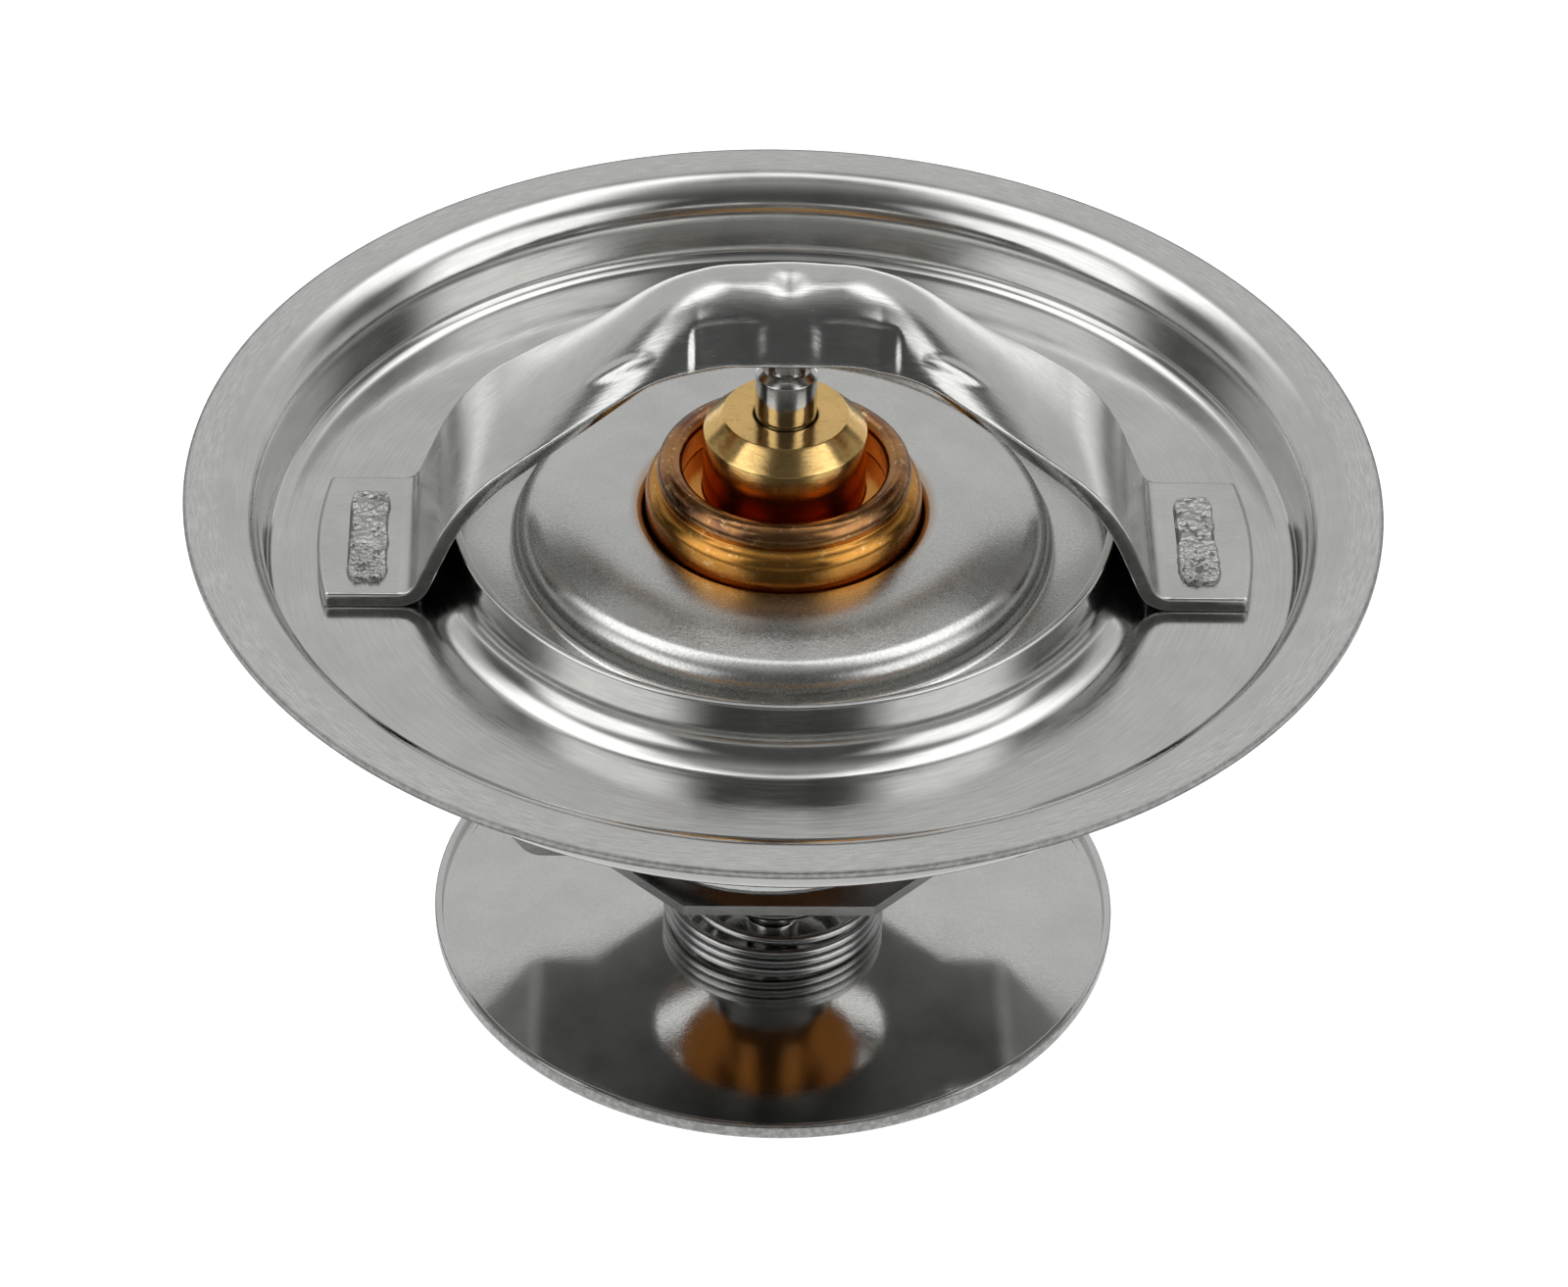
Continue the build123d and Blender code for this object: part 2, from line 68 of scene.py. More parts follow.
# Shader helpers. Lengths in materials are in metres, and all other lengths in millimetres
class Graph:
    """Short names for building a node tree."""

    def __init__(self, tree):
        self.tree = tree
        tree.nodes.clear()

    def node(self, kind, **settings):
        made = self.tree.nodes.new(kind)
        for key, value in settings.items():
            setattr(made, key, value)
        return made

    def put(self, socket, value):
        if isinstance(value, bpy.types.NodeSocket):
            self.tree.links.new(value, socket)
        else:
            socket.default_value = value

    def math(self, operation, *values):
        made = self.node("ShaderNodeMath", operation=operation)
        for socket, value in zip(made.inputs, values):
            self.put(socket, value)
        return made.outputs[0]

    def vector(self, operation, *values, out=0):
        made = self.node("ShaderNodeVectorMath", operation=operation)
        for socket, value in zip(made.inputs, values):
            self.put(socket, value)
        return made.outputs[out]

    def ramp(self, value, low, high, to_low=0.0, to_high=1.0):
        made = self.node("ShaderNodeMapRange", interpolation_type="SMOOTHSTEP")
        for socket, item in zip(made.inputs, (value, low, high, to_low, to_high)):
            self.put(socket, item)
        return made.outputs[0]

    def mix(self, share, first, second):
        made = self.node("ShaderNodeMix", data_type="RGBA")
        self.put(made.inputs[0], share)
        self.put(made.inputs[6], first)
        self.put(made.inputs[7], second)
        return made.outputs[2]

    def split(self, place):
        made = self.node("ShaderNodeSeparateXYZ")
        self.put(made.inputs[0], place)
        return made.outputs

    def noise(self, place, scale, detail, rough):
        made = self.node("ShaderNodeTexNoise")
        self.put(made.inputs["Vector"], place)
        made.inputs["Scale"].default_value = scale
        made.inputs["Detail"].default_value = detail
        made.inputs["Roughness"].default_value = rough
        return made.outputs[0]

    def bump(self, height, strength, distance):
        made = self.node("ShaderNodeBump")
        made.inputs["Strength"].default_value = strength
        made.inputs["Distance"].default_value = distance
        self.put(made.inputs["Height"], height)
        return made.outputs[0]


def material(name):
    made = bpy.data.materials.new(name)
    made.use_nodes = True
    graph = Graph(made.node_tree)
    shader = graph.node("ShaderNodeBsdfPrincipled")
    out = graph.node("ShaderNodeOutputMaterial")
    graph.tree.links.new(shader.outputs[0], out.inputs[0])
    return made, graph, shader.inputs


def reach_from_axis(graph, x, y):
    """Distance from the Z axis."""
    squares = graph.math("ADD", graph.math("MULTIPLY", x, x), graph.math("MULTIPLY", y, y))
    return graph.math("SQRT", squares)


def round_place(graph, place, around, across, along):
    """Coordinates that run round the Z axis, out from it and along it, scaled."""
    x, y, z = graph.split(place)
    angle = graph.math("ARCTAN2", y, x)
    reach = reach_from_axis(graph, x, y)
    join = graph.node("ShaderNodeCombineXYZ")
    graph.put(join.inputs[0], graph.math("MULTIPLY", angle, around))
    graph.put(join.inputs[1], graph.math("MULTIPLY", reach, across))
    graph.put(join.inputs[2], graph.math("MULTIPLY", z, along))
    return join.outputs[0]


# Scales of the noise in the metals: grain, clouds, specks and pits on sheared edges, then the grain
# along the strip, the turned grain round the axis, and the brush strokes on the rim
GRAIN_SCALE, CLOUD_SCALE, SPECK_SCALE, PIT_SCALE = 5200.0, 210.0, 1900.0, 2100.0
STRIP_GRAIN, TURNED_AROUND_SCALE, STROKES = (900.0, 9000.0, 900.0), 9.0, (26.0, 8500.0, 400.0)
BUMP_HEIGHT = 0.00004
# Where marks start and end, as distance from the axis. The mark at the disc's well is a painted copper
# reflection with painted shade, and the one under the flange's outer part is painted shade
PLATE_EDGE, WELL_REFLECTION_REACH, LIP_OUTSIDE = (0.02367, 0.02372), (0.0094, 0.0105), (0.0066, 0.0072)
RIM_BRUSHED, RIM_EDGE, UNDER_SHADE_REACH = (0.0372, 0.038), (0.0397, 0.0399), (0.03, 0.0305)
# Where marks start and end, as height: the guide's is a painted orange reflection of the copper, the lip's
# is a stain, and the capsule end's is painted shade
GUIDE_REFLECTION_HEIGHT, LIP_STAIN, CAPSULE_END_SHADE = (0.0008, 0.0044), (0.0005, 0.0016), (-0.018, -0.01)
BLACK = (0.0, 0.0, 0.0, 1.0)


class Metal:
    """Bare metal. grain is 'round' for turned or spun marks, 'x' for marks along X, or 'none'."""

    def __init__(self, name, colour, rough, spread, grain, bump=0.12, cloudy=0.1):
        self.made, self.graph, self.shader = material(name)
        graph = self.graph
        self.place = graph.node("ShaderNodeTexCoord").outputs["Object"]
        if grain == "round":
            place = round_place(graph, self.place, TURNED_AROUND_SCALE, GRAIN_SCALE, GRAIN_SCALE)
            fine = graph.noise(place, 1.0, 4.0, 0.6)
        elif grain == "x":
            fine = graph.noise(graph.vector("MULTIPLY", self.place, STRIP_GRAIN), 1.0, 3.0, 0.6)
        else:
            fine = graph.noise(self.place, GRAIN_SCALE, 3.0, 0.6)
        cloud = graph.noise(self.place, CLOUD_SCALE, 4.0, 0.6)
        speck = graph.noise(self.place, SPECK_SCALE, 2.0, 0.5)
        clouded = tuple(c * (1 - cloudy) for c in colour) + (1.0,)
        grained = tuple(c * 0.55 for c in colour) + (1.0,)
        shade = graph.mix(graph.ramp(cloud, 0.3, 0.7), clouded, tuple(colour) + (1.0,))
        self.shade = graph.mix(graph.ramp(fine, 0.35, 0.65, 0.0, 0.16), shade, grained)
        variation = graph.math("ADD", graph.math("MULTIPLY", fine, 0.6), graph.math("MULTIPLY", cloud, 0.4))
        self.coarse = graph.ramp(variation, 0.3, 0.7, rough - spread, rough + spread)
        height = graph.math("ADD", fine, graph.math("MULTIPLY", speck, 0.5))
        graph.put(self.shader["Normal"], graph.bump(height, bump, BUMP_HEIGHT))
        self.shader["Metallic"].default_value = 1.0
        self.finish(self.shade, self.coarse)

    def finish(self, shade, coarse):
        self.graph.put(self.shader["Base Color"], shade)
        self.graph.put(self.shader["Roughness"], coarse)

    def reach_and_height(self):
        """Distance from the axis and height."""
        x, y, z = self.graph.split(self.place)
        return reach_from_axis(self.graph, x, y), z

    def sheared(self, edge, deep, high):
        """Pitted shade and rougher surface on the edge, from the metal's own shade and roughness."""
        graph = self.graph
        pits = graph.ramp(graph.noise(self.place, PIT_SCALE, 3.0, 0.7), 0.42, 0.6)
        shade = graph.mix(edge, self.shade, graph.mix(pits, deep, high))
        coarse = graph.math("ADD", self.coarse, graph.math("MULTIPLY", edge, 0.25))
        return shade, coarse


def sheared_plate():
    """Bright plate with a duller, pitted edge."""
    steel = Metal("plate_steel", (0.7, 0.7, 0.69), 0.09, 0.03, "none", 0.06)
    reach = steel.reach_and_height()[0]
    edge = steel.graph.ramp(reach, *PLATE_EDGE)
    steel.finish(*steel.sheared(edge, (0.2, 0.2, 0.195, 1), (0.29, 0.29, 0.285, 1)))
    return steel.made


def rolled_flange():
    """Flange sheet: brushed flat rim, smoother dish, dull sheared edge, and painted shade on the underside
    of its outer part.
    """
    steel = Metal("rim_steel", (0.66, 0.66, 0.645), 0.15, 0.06, "round", 0.07)
    graph = steel.graph
    reach = steel.reach_and_height()[0]
    rim = graph.ramp(reach, *RIM_BRUSHED)
    edge = graph.ramp(reach, *RIM_EDGE)
    strokes = graph.noise(round_place(graph, steel.place, *STROKES), 1.0, 3.0, 0.6)
    brushed = graph.mix(graph.ramp(strokes, 0.35, 0.65), (0.55, 0.55, 0.54, 1), (0.68, 0.68, 0.67, 1))
    steel.shade = graph.mix(graph.math("MULTIPLY", rim, 0.8), steel.shade, brushed)
    rougher = graph.math("MULTIPLY", rim, graph.ramp(strokes, 0.3, 0.7, 0.06, 0.16))
    steel.coarse = graph.math("ADD", steel.coarse, rougher)
    shade, coarse = steel.sheared(edge, (0.26, 0.26, 0.255, 1), (0.34, 0.34, 0.33, 1))
    # Painted shade: faces that point down, beyond 30 mm from the axis, are darkened towards black
    normal = graph.node("ShaderNodeNewGeometry").outputs["Normal"]
    downward = graph.ramp(graph.split(normal)[2], -0.06, -0.01, 0.42, 0.0)
    under = graph.math("MULTIPLY", graph.ramp(reach, *UNDER_SHADE_REACH), downward)
    steel.finish(graph.mix(under, shade, BLACK), coarse)
    return steel.made


def disc_with_painted_reflection():
    """Disc sheet, painted brown-orange where it dips towards the capsule: a painted reflection of the
    copper collar and painted shade in the dip.
    """
    steel = Metal("disc_steel", (0.66, 0.66, 0.645), 0.24, 0.07, "none", 0.2)
    reach = steel.reach_and_height()[0]
    # Painted reflection and shade: the disc turns brown-orange from the well's edge inwards, for the copper
    # seen in the dip and the dark gap beside the collar
    near = steel.graph.ramp(reach, *WELL_REFLECTION_REACH, 1.0, 0.0)
    steel.finish(steel.graph.mix(near, steel.shade, (0.42, 0.26, 0.14, 1)), steel.coarse)
    return steel.made


def turned_brass():
    """Brass, painted orange low down where it sits in the copper lip: a painted reflection of the copper.
    """
    brass = Metal("guide_brass", (0.9, 0.6, 0.23), 0.17, 0.06, "round", 0.2)
    graph = brass.graph
    height = brass.reach_and_height()[1]
    # Painted reflection: the brass turns orange below the lip's top, for the copper's light bouncing in the
    # recess
    low = graph.ramp(height, *GUIDE_REFLECTION_HEIGHT, 0.9, 0.0)
    scuffs = graph.ramp(graph.noise(brass.place, 1300.0, 4.0, 0.7), 0.52, 0.66, 0.0, 0.35)
    shade = graph.mix(scuffs, brass.shade, (0.5, 0.3, 0.1, 1))
    brass.finish(graph.mix(low, shade, (0.56, 0.22, 0.035, 1)), brass.coarse)
    return brass.made


def heated_copper():
    """Copper: brown and violet tints on the rolled lip, a painted orange glow of reflected light inside it,
    and painted shade at the capsule's end.
    """
    copper = Metal("capsule_copper", (0.6, 0.28, 0.06), 0.21, 0.07, "round", 0.2)
    graph = copper.graph
    reach, height = copper.reach_and_height()
    outside = graph.ramp(reach, *LIP_OUTSIDE)
    lip = graph.math("MULTIPLY", graph.ramp(height, *LIP_STAIN), outside)
    stain = graph.ramp(graph.noise(copper.place, 330.0, 3.0, 0.6), 0.35, 0.62)
    violet = graph.mix(stain, (0.13, 0.065, 0.055, 1), (0.38, 0.19, 0.08, 1))
    marks = graph.ramp(graph.noise(copper.place, 1500.0, 4.0, 0.7), 0.56, 0.7, 0.0, 0.5)
    # Painted shade: the capsule darkens towards near black from 10 mm below the lip, most from 18 mm, where
    # it hangs in the frame's shade
    deep = graph.ramp(height, *CAPSULE_END_SHADE, 0.55, 0.0)
    # Painted reflection: inside the lip the copper is a deeper orange, for light bouncing in the recess
    shade = graph.mix(graph.math("SUBTRACT", 1.0, outside), copper.shade, (0.74, 0.25, 0.04, 1))
    shade = graph.mix(graph.math("MULTIPLY", lip, 0.85), shade, violet)
    shade = graph.mix(marks, shade, (0.9, 0.66, 0.34, 1))
    copper.finish(graph.mix(deep, shade, (0.12, 0.06, 0.015, 1)), copper.coarse)
    return copper.made


rim_steel = rolled_flange()
strip_steel = Metal("strip_steel", (0.64, 0.64, 0.625), 0.21, 0.07, "x", 0.22).made
scar_steel = Metal("scar_steel", (0.5, 0.5, 0.485), 0.3, 0.1, "none", 0.7, 0.4).made
disc_steel = disc_with_painted_reflection()
# Painted shade: the lower frame's steel is near black, for the shade it lies in
frame_painted_dark = Metal("frame_painted_dark", (0.22, 0.22, 0.215), 0.34, 0.08, "none", 0.25, 0.3).made
plate_steel = sheared_plate()
spring_steel = Metal("spring_steel", (0.42, 0.42, 0.415), 0.22, 0.05, "none").made
piston_steel = Metal("piston_steel", (0.62, 0.61, 0.59), 0.13, 0.05, "round", 0.1).made
brass = turned_brass()
copper = heated_copper()
rubber = Metal("rubber", (0.03, 0.03, 0.03), 0.6, 0.1, "none")
backup = Metal("backup", (0.8, 0.79, 0.74), 0.5, 0.1, "none")
wax = Metal("wax", (0.5, 0.3, 0.16), 0.6, 0.1, "none")
for soft in (rubber, backup, wax):
    soft.shader["Metallic"].default_value = 0.0

# Materials on the CAD nodes
for name, made in {
    "flange_plate": rim_steel,
    "upper_bridge": strip_steel,
    "lower_frame": frame_painted_dark,
    "valve_disc": disc_steel,
    "bypass_plate": plate_steel,
    "main_spring": spring_steel,
    "bypass_spring": spring_steel,
    "stem": piston_steel,
    "retaining_ring": spring_steel,
    "piston": piston_steel,
    "piston_guide": brass,
    "capsule_cup": copper,
    "rubber_sleeve": rubber.made,
    "backup_ring": backup.made,
    "wax_charge": wax.made,
}.items():
    mesh = nodes[name].data
    mesh.materials.clear()
    mesh.materials.append(made)


# Mesh helpers. SHEET_EDGE rounds the cut edges of a sheet, and RISE_SOFT the ends of an even rise
SHEET_EDGE = 0.1
RISE_SOFT = 0.06


def mesh_object(name, verts, faces, made):
    mesh = bpy.data.meshes.new(name)
    mesh.from_pydata([tuple(c * MM for c in v) for v in verts], [], faces)
    mesh.materials.append(made)
    for face in mesh.polygons:
        face.use_smooth = True
    mesh.validate()
    obj = bpy.data.objects.new(name, mesh)
    scene.collection.objects.link(obj)
    return obj


def stand_in(obj, node, body):
    """Puts an object in the place of a CAD node."""
    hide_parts(node)
    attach(obj, body)


def ring_faces(rings, size, closed=False):
    """Quads between closed rings of points; closed also joins the last ring to the first."""
    faces = []
    for i in range(rings if closed else rings - 1):
        ahead = (i + 1) % rings
        for j in range(size):
            k = (j + 1) % size
            faces.append((i * size + j, i * size + k, ahead * size + k, ahead * size + j))
    return faces


def end_faces(rings, size):
    """One face over the first ring and one over the last."""
    return [tuple(range(size))[::-1], tuple(range((rings - 1) * size, rings * size))]


def rounded(points, radii, step):
    """Points about a step apart along a polyline whose inner corners are rounded."""
    path = [Vector(points[0])]
    for i, radius in enumerate(radii, 1):
        corner = Vector(points[i])
        back = (Vector(points[i - 1]) - corner).normalized()
        ahead = (Vector(points[i + 1]) - corner).normalized()
        half = back.angle(ahead) / 2
        trim = radius / (sin(half) / cos(half))
        middle = corner + (back + ahead).normalized() * radius / sin(half)
        first, last = corner + back * trim, corner + ahead * trim
        path.append(first)
        turns = max(4, int(radius * (pi - 2 * half) / step * 2))
        for k in range(1, turns):
            spoke = (first - middle).lerp(last - middle, k / turns).normalized()
            path.append(middle + spoke * radius)
        path.append(last)
    path.append(Vector(points[-1]))
    dense = []
    for a, b in zip(path, path[1:]):
        pieces = max(1, int((b - a).length / step))
        dense += [a.lerp(b, k / pieces) for k in range(pieces)]
    return dense + [path[-1]]


def sheet(points, radii, thickness, step):
    """Outline of a bent sheet: its path, and the same path offset to the left, with soft ends."""
    path = rounded(points, radii, step)
    near, far, ends = [], [], []
    for i, point in enumerate(path):
        along = (path[min(i + 1, len(path) - 1)] - path[max(i - 1, 0)]).normalized()
        left = Vector((-along.y, along.x))
        if i in (0, len(path) - 1):
            end = along * (SHEET_EDGE if i else -SHEET_EDGE)
            point = point - end
            turns = (0.5, 1.05, pi / 2)
            corner = [point + left * SHEET_EDGE * (1 - cos(t)) + end * sin(t) for t in turns]
            other = [point + left * (thickness - SHEET_EDGE * (1 - cos(t))) + end * sin(t) for t in turns]
            ends.append(corner + other[::-1])
        near.append(point)
        far.append(point + left * thickness)
    return near + ends[1] + far[::-1] + ends[0][::-1]


def lathe(name, outline, made, around):
    """Closed outline of radius and height turned round the axis."""
    verts = []
    for i in range(around):
        turn = 2 * pi * i / around
        verts += [(r * cos(turn), r * sin(turn), z) for r, z in outline]
    return mesh_object(name, verts, ring_faces(around, len(outline), closed=True), made)


def wire(name, path, radius, made, sides=20):
    """Round wire along a list of points, with flat cut ends."""
    verts = []
    count = len(path)
    for i, point in enumerate(path):
        along = (path[min(i + 1, count - 1)] - path[max(i - 1, 0)]).normalized()
        side = along.cross(Vector((0, 0, 1))).normalized()
        up = side.cross(along)
        for j in range(sides):
            turn = 2 * pi * j / sides
            verts.append(point + (side * cos(turn) + up * sin(turn)) * radius)
    return mesh_object(name, verts, ring_faces(count, sides) + end_faces(count, sides), made)


def blend(share, start, end):
    """Smooth rise from 0 to 1."""
    part = min(1, max(0, (share - start) / (end - start)))
    return part * part * (3 - 2 * part)


def blend_even(share, start, end):
    """Even rise from 0 to 1 with soft ends."""
    part = (share - start) / (end - start)
    low = sqrt(part * part + RISE_SOFT * RISE_SOFT) + part
    high = sqrt((1 - part) ** 2 + RISE_SOFT * RISE_SOFT) + 1 - part
    return low / (low + high)


def coil(turns, radius_at, height_at, per_turn=48):
    points = []
    for step in range(int(turns * per_turn) + 1):
        angle = 2 * pi * step / per_turn
        share = step / (turns * per_turn)
        radius = radius_at(share)
        points.append(Vector((radius * cos(angle), radius * sin(angle), height_at(share))))
    return points


# Springs as round wire, with flat end coils
MAIN_TURNS, MAIN_R, MAIN_WIRE_R = 5.0, 12.35, 1.0
MAIN_LOW, MAIN_RISE, MAIN_FLAT = -25.282, 21.762, 0.13
BYPASS_TURNS, BYPASS_WIRE_R = 6.0, 0.34
BYPASS_TOP, BYPASS_DROP, BYPASS_FLAT = -33.0, 4.09, 0.16
# Radius of the first coil, and the steps outwards with the shares of the length they take
BYPASS_R, BYPASS_STEPS = 4.55, ((0.65, 0.11, 0.2), (2.2, 0.33, 0.52))


def main_height(share):
    """Height of the main spring's wire: about two thirds of a turn lie flat at each end."""
    return MAIN_LOW + MAIN_RISE * blend_even(share, MAIN_FLAT, 1 - MAIN_FLAT)


def bypass_radius(share):
    """Radius of the bypass spring's coils, which grow in two steps towards the plate."""
    return BYPASS_R + sum(step * blend(share, start, end) for step, start, end in BYPASS_STEPS)


def bypass_height(share):
    return BYPASS_TOP - BYPASS_DROP * max(0, (share - BYPASS_FLAT) / (1 - BYPASS_FLAT))


main_path = coil(MAIN_TURNS, lambda share: MAIN_R, main_height)
main_coil = wire("main_spring_wire", main_path, MAIN_WIRE_R, spring_steel)
stand_in(main_coil, "main_spring", "frame")
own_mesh(main_coil)

bypass_path = coil(BYPASS_TURNS, bypass_radius, bypass_height)
bypass_coil = wire("bypass_spring_wire", bypass_path, BYPASS_WIRE_R, spring_steel, sides=12)
stand_in(bypass_coil, "bypass_spring", "valve")
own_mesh(bypass_coil)


# Bridge as a fine mesh in the form of the CAD strip, with soft edges and the marks of the press
STRIP_T, STRIP_HALF, STRIP_EDGE = 1.05, 6.5, 0.16
STATION_STEP, ACROSS, FOOT_STEPS = 0.16, 64, 18
FOOT_X, FOOT_Z, FOOT_BEND, FOOT_FLAT_X = 24.85, -4.5, 1.3, 26.85
FOOT_END = (31.2, 31.6)
KNEE_X, KNEE_Z, KNEE_R = 21.702, 3.1, 18.0
# The arm starts at ARCH_X, and its channel fades in from CHANNEL_X
ARCH_X, CHANNEL_X, CHANNEL_POWER = 18.8, 23.0, 1.5
CROWN_X, CROWN_Z, CROWN_HALF, CROWN_DROP, CROWN_ROUND = 6.0, 17.0, 4.45, 4.3, 3.2
CROWN_POWER = 2.5
ARCH_SLOPE = (CROWN_Z - KNEE_Z) / (KNEE_X - CROWN_X - CROWN_ROUND / 4)
# Coined flats: ends on the left and right, rib between them, upper and lower edge, depth
FLAT_END = (6.5, 7.3)
RIB_HALF, FLAT_TOP, FLAT_FOOT, COIN, COIN_SHARE = 1.9, 2.9, 4.5, 0.2, 0.6
# Hump and dents on the crown: height, middle in Y, width along X and Y
CROWN_MARKS = ((0.2, 2.3, 2.6, 1.6), (-0.24, -0.4, 0.9, 1.3), (-0.12, -0.9, 2.2, 1.6))
# Bead on each arm: its middle, half length, half width, height, and the arm's direction there
BEAD_X, BEAD_Y, BEAD_Z = 11.05, -3.55, 11.95
BEAD_LONG, BEAD_WIDE, BEAD_HIGH = 2.7, 0.45, 0.2
BEAD_ALONG_X, BEAD_ALONG_Z = 0.848, -0.53


def bridge_section(x):
    """Top height, half width, side drop and its power at the distance x from the middle."""
    slope_z = KNEE_Z + (KNEE_X - x) * ARCH_SLOPE
    top = min(slope_z, CROWN_Z) - max(0, CROWN_ROUND - abs(slope_z - CROWN_Z)) ** 2 / (4 * CROWN_ROUND)
    share = min(1, max(0, (CHANNEL_X - x) / (CHANNEL_X - CROWN_X))) ** CHANNEL_POWER
    return top, STRIP_HALF - share * (STRIP_HALF - CROWN_HALF), share * CROWN_DROP, 2 + share / 2


def bridge_top(station, v):
    """Point of the strip's plain upper face, v from -1 to 1 across it."""
    side, x, z, foot = station
    if foot is not None:
        y = STRIP_HALF * v
        end = FOOT_END[side > 0]
        return Vector((side * (x + (sqrt(end * end - y * y) - x) * foot), y, z))
    top, half, drop, power = bridge_section(x)
    if x > ARCH_X:
        top = z
    return Vector((side * x, half * v, top - drop * abs(v) ** power))


def coined(x, y, z):
    """Depth of the coined flats under the plain face."""
    top, half, drop, power = bridge_section(x)
    start = top - drop * (FLAT_TOP / half) ** CROWN_POWER - COIN
    end = top - drop * (FLAT_FOOT / half) ** CROWN_POWER - COIN
    return max(0.0, z - start - (end - start) * (y - FLAT_TOP) / (FLAT_FOOT - FLAT_TOP)) * COIN_SHARE


def press_marks(point):
    """Height of the coined flats, the hump, the dents and the beads over the plain face."""
    x, y, z = point
    lift = 0.0
    for height, middle, wide, long in CROWN_MARKS:
        lift += height * exp(-((x / wide) ** 2 + ((y - middle) / long) ** 2))
    flat_end = FLAT_END[x > 0]
    inner = blend(abs(x), RIB_HALF - 0.8, RIB_HALF + 0.5)
    outer = 1 - blend(abs(x), flat_end - 0.5, flat_end + 0.2)
    upper = blend(abs(y), FLAT_TOP - 0.1, FLAT_TOP + 0.1)
    corner = blend(abs(y) - FLAT_TOP + 0.9 * (flat_end - abs(x)), 0.2, 0.5)
    lift -= coined(abs(x), abs(y), z) * inner * outer * upper * corner
    along = (abs(x) - BEAD_X) * BEAD_ALONG_X + (z - BEAD_Z) * BEAD_ALONG_Z
    across = (y - BEAD_Y) * 0.9 - along * 0.1
    size = 1 - (along / BEAD_LONG) ** 2 - (across / BEAD_WIDE) ** 2
    if y < 0 and size > 0:
        lift += BEAD_HIGH * size
    return lift


def bridge_stations():
    """Stations of one half from the middle to the foot's end: x, z and share of the foot."""
    count = int(ARCH_X / STATION_STEP)
    stations = [(ARCH_X * k / count, 0.0, None) for k in range(count)]
    arm = (ARCH_X, KNEE_Z + (KNEE_X - ARCH_X) * ARCH_SLOPE)
    leg = [arm, (KNEE_X, KNEE_Z), (FOOT_X, FOOT_Z), (FOOT_FLAT_X, FOOT_Z)]
    stations += [(point.x, point.y, None) for point in rounded(leg, [KNEE_R, FOOT_BEND], STATION_STEP)]
    last = 1 - STRIP_EDGE / (FOOT_END[0] - FOOT_FLAT_X)
    stations += [(FOOT_FLAT_X, FOOT_Z, last * k / FOOT_STEPS) for k in range(1, FOOT_STEPS + 1)]
    return stations + [(FOOT_FLAT_X, FOOT_Z, 1.0)]


def bridge_ring(station, before, after, thin):
    """Closed ring of points round the strip; thin draws the ring at a foot's end in from both faces."""
    def face(v):
        return bridge_top(station, v)

    def normal(v):
        low, high = (v - 0.01, v) if v > 0.5 else (v, v + 0.01)
        wide = face(high) - face(low)
        return (bridge_top(after, v) - bridge_top(before, v)).cross(wide).normalized()

    upper, lower = [], []
    inset = 1 - STRIP_EDGE / ((face(1) - face(0.98)).length / 0.02)
    for j in range(ACROSS + 1):
        v = inset * (2 * j / ACROSS - 1)
        point, out = face(v), normal(v)
        upper.append(point + out * (press_marks(point) - thin))
        lower.append(point - out * (STRIP_T - thin))
    ends = []
    for end in (1, -1):
        core, out = face(end * inset), normal(end * inset)
        edge = (face(end) - core).normalized()
        radius = STRIP_EDGE - thin * 0.5
        corners = []
        for k in range(1, 7):
            turn = pi / 2 * (k if k < 4 else k - 1) / 3
            depth = press_marks(core) - thin - radius if k < 4 else thin + radius - STRIP_T
            corners.append(core + out * (depth + radius * cos(turn)) + edge * radius * sin(turn))
        ends.append(corners)
    return upper + ends[0] + lower[::-1] + ends[1][::-1]


def bridge_mesh():
    """The whole strip as one closed mesh."""
    half = bridge_stations()
    stations = [(-1, *station) for station in half[:0:-1]] + [(1, *station) for station in half]
    count = len(stations)
    verts = []
    for i, station in enumerate(stations):
        before, after = stations[max(i - 1, 0)], stations[min(i + 1, count - 1)]
        verts += bridge_ring(station, before, after, STRIP_EDGE if i in (0, count - 1) else 0.0)
    size = len(verts) // count
    return mesh_object("bridge_strip", verts, ring_faces(count, size) + end_faces(count, size), strip_steel)


# Round pieces with soft edges, in the form of their CAD nodes. Corners are radius and height, and
# each list of radii has one for every corner between the first and the last
FLANGE = [(40, 0), (35.0, 0), (34.6, -5.55), (22.3, -5.55), (22.3, -1.2)]
FLANGE_RADII = [2.9, 1.0, 2.4]
DISC = [(22.67, -6.6), (22.67, -4.6), (17.9, -4.6), (17.9, -2.3), (13.4, -1.7), (9.36, -1.7),
        (9.36, -4), (6.5, -4)]
DISC_RADII = [1.5, 0.55, 1.9, 20.0, 0.6, 0.4]
PLATE = [(1.95, -37.95), (23.77, -37.95), (23.77, -36.4)]
PLATE_RADII = [0.9]
GUIDE = [(2.12, -6), (2.12, 5.95), (4.15, 5.95), (5.45, 4.6), (5.45, -0.2), (8.2, -0.2), (8.2, -1.9),
         (5.6, -1.9), (5.6, -6)]
GUIDE_RADII = [0.22, 0.1, 0.12, 0.1, 0.1, 0.1, 0.1]
CUP = [(2.2, -23.6), (2.2, -24.8), (6.45, -24.8), (6.45, -4), (9.25, -4), (9.25, 0.25), (8.35, 0.65),
       (8.95, 2.24), (6.75, 2.24), (6.9, -0.2), (8.2, -0.2), (8.2, -1.9), (5.6, -1.9), (5.6, -22.6),
       (0.05, -22.6), (0.05, -23.6)]
CUP_RADII = [0.1, 0.3, 0.2, 0.4, 1.2, 0.14, 1.0, 0.74, 0.1, 0.1, 0.1, 0.1, 0.8, 0.1]
